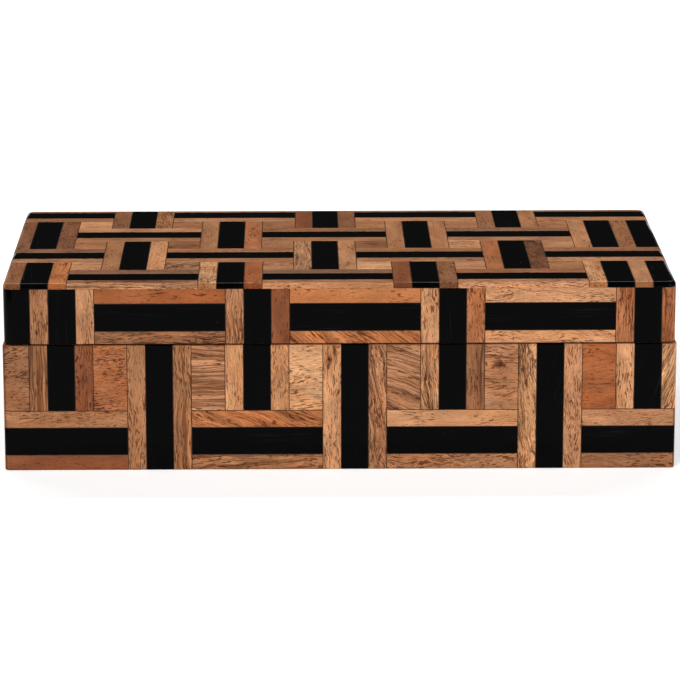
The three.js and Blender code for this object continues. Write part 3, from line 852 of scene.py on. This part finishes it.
def black_strips():
    """Polished black strips with faint rubbed streaks, a few pinholes, and a painted highlight on the lid's
    top edge.
    """
    s = Shader("polished_black_strips")
    grain = s.attribute("grain")
    rubbed = s.noise(grain, (0.03, 2.2, 2.2), detail=3.0, roughness=0.6)
    where = s.noise(grain, (0.02, 0.09, 0.09), detail=1.0)
    streaks = s.math("MULTIPLY", s.step(rubbed, 0.58, 0.7), s.step(where, 0.54, 0.68))
    pins = s.tree.nodes.new("ShaderNodeTexVoronoi")
    s.feed(pins.inputs["Vector"], s.scaled(grain, (0.06, 0.06, 0.06)))
    pins.inputs["Scale"].default_value = 1.0
    holes = s.step(pins.outputs["Distance"], 0.01, 0.022, 1.0, 0.0)
    haze = s.noise(grain, (0.05, 0.2, 0.2), detail=2.0)
    colour = s.blend(haze, BLACKS["deep"], BLACKS["hazy"])
    colour = s.blend(s.math("MULTIPLY", streaks, 0.6), colour, BLACKS["streak"])
    colour = s.blend(s.math("MULTIPLY", holes, 0.7), colour, BLACKS["pinhole"])
    # Painted highlight along the lid's rounded top edge, broken up by the rubbed noise
    worn = s.math("MULTIPLY", s.split(s.attribute("wear"))[0], s.step(rubbed, 0.35, 0.6, 0.3, 1.0))
    colour = s.blend(worn, colour, BLACKS["worn"])
    roughness = s.math("ADD", s.step(haze, 0.3, 0.7, 0.1, 0.15), s.math("MULTIPLY", streaks, 0.25))
    height = s.math("SUBTRACT", s.math("MULTIPLY", rubbed, 0.1), holes)
    s.surface.inputs["Specular IOR Level"].default_value = 0.035
    return s.finish(Base_Color=colour, Roughness=roughness, Normal=s.bump(height, 0.01 * MM))


GLUE_COLOURS = ((0.018, 0.009, 0.005, 1), (0.05, 0.026, 0.014, 1))


def dark_glue():
    s = Shader("dark_glue_lines")
    grit = s.noise(s.own_place(), (1.5, 1.5, 1.5), detail=3.0)
    colour = s.blend(grit, *GLUE_COLOURS)
    s.surface.inputs["Specular IOR Level"].default_value = 0.2
    return s.finish(
        Base_Color=colour, Roughness=s.step(grit, 0.3, 0.7, 0.5, 0.75), Normal=s.bump(grit, 0.03 * MM)
    )


BOARD_COLOURS = ((0.27, 0.13, 0.056, 1), (0.13, 0.056, 0.024, 1))
BOARD_FIBRE_TINT = (0.6, 0.52, 0.46)
BOARD_PORE = (0.05, 0.022, 0.012, 1)
BOARD_WANDER = 9.0  # how far the grain strays sideways, in millimetres


def board_wood(name, along_y):
    """Stained and sealed board, with its grain along X, or along Y."""
    s = Shader(name)
    place = s.own_place()
    x, y, z = s.split(place)
    grain = s.join(y, x, z) if along_y else place
    wander = s.noise(grain, (0.012, 0.05, 0.05), detail=2.0)
    along, across, depth = s.split(grain)
    strayed = [s.math("MULTIPLY_ADD", wander, BOARD_WANDER, way) for way in (across, depth)]
    flow = s.join(along, *strayed)
    fibres = s.noise(flow, (0.08, 1.6, 1.6), detail=4.0, roughness=0.65)
    bands = s.noise(flow, (0.008, 0.22, 0.22), detail=3.0)
    pores = s.step(s.noise(flow, (0.25, 2.2, 2.2), detail=1.0), 0.62, 0.7)
    colour = s.blend(s.step(bands, 0.35, 0.68), *BOARD_COLOURS)
    colour = marked(s, colour, s.step(fibres, 0.3, 0.75, 0.0, 0.6), BOARD_FIBRE_TINT)
    colour = s.blend(s.math("MULTIPLY", pores, 0.6), colour, BOARD_PORE)
    height = s.math("SUBTRACT", s.math("MULTIPLY", fibres, 0.4), pores)
    s.surface.inputs["Specular IOR Level"].default_value = 0.3
    return s.finish(
        Base_Color=colour, Roughness=s.step(fibres, 0.3, 0.7, 0.45, 0.6), Normal=s.bump(height, 0.03 * MM)
    )


FELT_COLOURS = ((0.04, 0.004, 0.006, 1), (0.19, 0.022, 0.028, 1))
FELT_HAIR = (0.3, 0.07, 0.07, 1)
FELT_CLOUD_TINT = (0.6, 0.56, 0.56)
FELT_SHEEN = (0.8, 0.35, 0.35, 1)


def lining_felt():
    s = Shader("pressed_felt")
    place = s.own_place()
    fuzz = s.noise(place, (2.2, 2.2, 2.2), detail=5.0, roughness=0.75)
    hairs = s.noise(place, (0.7, 3.5, 3.5), detail=2.0)
    cloud = s.noise(place, (0.06, 0.06, 0.06), detail=3.0)
    colour = s.blend(s.step(fuzz, 0.32, 0.68), *FELT_COLOURS)
    colour = s.blend(s.step(hairs, 0.55, 0.72, 0.0, 0.5), colour, FELT_HAIR)
    colour = marked(s, colour, s.step(cloud, 0.4, 0.6, 0.0, 0.5), FELT_CLOUD_TINT)
    height = s.math("ADD", fuzz, s.math("MULTIPLY", hairs, 0.5))
    s.surface.inputs["Sheen Weight"].default_value = 0.35
    s.surface.inputs["Sheen Roughness"].default_value = 0.6
    s.surface.inputs["Sheen Tint"].default_value = FELT_SHEEN
    s.surface.inputs["Specular IOR Level"].default_value = 0.1
    return s.finish(Base_Color=colour, Roughness=0.95, Normal=s.bump(height, 0.25 * MM))


BRASS_COLOURS = ((0.42, 0.3, 0.14, 1), (0.25, 0.16, 0.07, 1))
BRASS_SPOT = (0.12, 0.07, 0.035, 1)


def brushed_brass():
    s = Shader("aged_brass")
    place = s.own_place()
    brushing = s.noise(place, (0.25, 9.0, 9.0), detail=3.0, roughness=0.7)
    tarnish = s.noise(place, (0.16, 0.22, 0.22), detail=4.0, roughness=0.6)
    spots = s.step(s.noise(place, (0.9, 0.9, 0.9), detail=2.0), 0.62, 0.72)
    colour = s.blend(s.step(tarnish, 0.35, 0.7), *BRASS_COLOURS)
    colour = s.blend(s.math("MULTIPLY", spots, 0.5), colour, BRASS_SPOT)
    roughness = s.math("ADD", s.step(brushing, 0.3, 0.7, 0.4, 0.52), s.math("MULTIPLY", spots, 0.2))
    s.surface.inputs["Metallic"].default_value = 1.0
    return s.finish(Base_Color=colour, Roughness=roughness, Normal=s.bump(brushing, 0.012 * MM))


def dress_solids():
    """Boards, felts and hinges keep their own shape, and get their finish."""
    along_x = board_wood("sealed_board_along_x", False)
    along_y = board_wood("sealed_board_along_y", True)
    felt, brass = lining_felt(), brushed_brass()
    for name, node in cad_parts.items():
        if name.endswith("_tiles") or name.endswith("_black_inlay"):
            continue
        if "felt" in name:
            chosen = felt
        elif "hinge" in name:
            chosen = brass
        elif "left" in name or "right" in name:
            chosen = along_y
        else:
            chosen = along_x
        node.data.materials.clear()
        node.data.materials.append(chosen)


# Stage

FLOOR_REACH = 14.0
FLOOR_LEVEL = -0.1 * MM
FLOOR_COLOUR = 0.8
FLOOR_MOTTLE = 0.985  # the darker patches' share of the floor's colour
FLOOR_GLOW = 0.52
WORLD_LEVEL = 0.025


def make_floor():
    """A pale floor, whose own glow is seen by the camera and in reflections, over its shadow."""
    mesh = bpy.data.meshes.new("floor")
    r = FLOOR_REACH
    corners = [(-r, -r, FLOOR_LEVEL), (r, -r, FLOOR_LEVEL), (r, r, FLOOR_LEVEL), (-r, r, FLOOR_LEVEL)]
    mesh.from_pydata(corners, [], [(0, 1, 2, 3)])
    floor = bpy.data.objects.new("floor", mesh)
    bpy.context.scene.collection.objects.link(floor)
    s = Shader("pale_floor")
    mottle = s.noise(s.own_place(), (0.01, 0.01, 0.01), detail=3.0)
    colour = s.blend(mottle, (FLOOR_COLOUR,) * 3 + (1,), (FLOOR_COLOUR * FLOOR_MOTTLE,) * 3 + (1,))
    path = s.tree.nodes.new("ShaderNodeLightPath")
    seen = s.math(
        "MAXIMUM",
        path.outputs["Is Camera Ray"],
        s.math("MAXIMUM", path.outputs["Is Glossy Ray"], path.outputs["Is Transmission Ray"]),
    )
    s.surface.inputs["Specular IOR Level"].default_value = 0.0
    s.surface.inputs["Emission Color"].default_value = (1, 1, 1, 1)
    s.finish(Base_Color=colour, Roughness=0.9, Emission_Strength=s.math("MULTIPLY", seen, FLOOR_GLOW))
    mesh.materials.append(s.material)


# Soft lights, with their angles in degrees: azimuth 0 is from the front, and 90 from the right
SUNS = {
    "key": {"azimuth": -28, "elevation": 44, "strength": 1.65, "softness": 22},
    "fill": {"azimuth": 34, "elevation": 20, "strength": 1.15, "softness": 40},
}


def make_sun(name, azimuth, elevation, strength, softness):
    light = bpy.data.lights.new(name, "SUN")
    light.energy = strength
    light.angle = math.radians(softness)
    lamp = bpy.data.objects.new(name, light)
    a, e = math.radians(azimuth), math.radians(elevation)
    to_light = Vector((math.sin(a) * math.cos(e), -math.cos(a) * math.cos(e), math.sin(e)))
    lamp.rotation_mode = "QUATERNION"
    lamp.rotation_quaternion = to_light.to_track_quat("Z", "Y")
    lamp.location = to_light
    bpy.context.scene.collection.objects.link(lamp)


STRIP_LIGHT_PLACE = Vector((0.0, 0.58, 1.3))
STRIP_LIGHT_SIZE = (1.7, 0.06)
STRIP_LIGHT_WATTS = 9.0


def make_strip_light():
    """A long narrow lamp, high and a little behind, that draws a bright line along the front edge."""
    light = bpy.data.lights.new("strip", "AREA")
    light.shape = "RECTANGLE"
    light.size, light.size_y = STRIP_LIGHT_SIZE
    light.energy = STRIP_LIGHT_WATTS
    lamp = bpy.data.objects.new("strip", light)
    lamp.location = STRIP_LIGHT_PLACE
    lamp.rotation_mode = "QUATERNION"
    lamp.rotation_quaternion = STRIP_LIGHT_PLACE.to_track_quat("Z", "Y")
    bpy.context.scene.collection.objects.link(lamp)


def make_lights():
    for name, sun in SUNS.items():
        make_sun(name, **sun)
    make_strip_light()
    world = bpy.data.worlds.new("studio")
    world.use_nodes = True
    background = world.node_tree.nodes["Background"]
    background.inputs["Color"].default_value = (1, 1, 1, 1)
    background.inputs["Strength"].default_value = WORLD_LEVEL
    bpy.context.scene.world = world


# Where the camera stands, how it is turned, in radians, and its lens, in millimetres
CAMERA_PLACE = Vector((-19.32, -1611.58, 444.83)) * MM
CAMERA_YAW = 0.0126
CAMERA_PITCH = 0.2460
CAMERA_ROLL = -0.0007
CAMERA_LENS = 188.47


def make_camera():
    """The photograph's view: from the front, 14 degrees down, with a long lens."""
    yaw, pitch, roll = CAMERA_YAW, CAMERA_PITCH, CAMERA_ROLL
    ahead = Vector((math.sin(yaw) * math.cos(pitch), math.cos(yaw) * math.cos(pitch), -math.sin(pitch)))
    right = Vector((math.cos(yaw), -math.sin(yaw), 0))
    up = right.cross(ahead)
    right, up = (
        right * math.cos(roll) + up * math.sin(roll),
        up * math.cos(roll) - right * math.sin(roll),
    )
    data = bpy.data.cameras.new("camera")
    data.lens = CAMERA_LENS
    camera = bpy.data.objects.new("camera", data)
    rotation = Matrix((right, up, -ahead)).transposed().to_4x4()
    camera.matrix_world = Matrix.Translation(CAMERA_PLACE) @ rotation
    bpy.context.scene.collection.objects.link(camera)
    bpy.context.scene.camera = camera


def main():
    base = Half("base", BASE_CORNER_RADIUS, FOOT_EDGE_RADIUS)
    lid = Half("lid", LID_CORNER_RADIUS, TOP_EDGE_RADIUS)
    wood, black, glue = tile_wood(), black_strips(), dark_glue()
    names = [(f"{half.name}_{side}", half) for half in (base, lid) for side in ACROSS]
    for name, half in names + [("lid_top", lid)]:
        make_facing(Face(name, half), wood, black, glue)
    dress_solids()
    make_floor()
    make_lights()
    make_camera()
    bpy.context.scene.view_settings.view_transform = "Standard"


main()
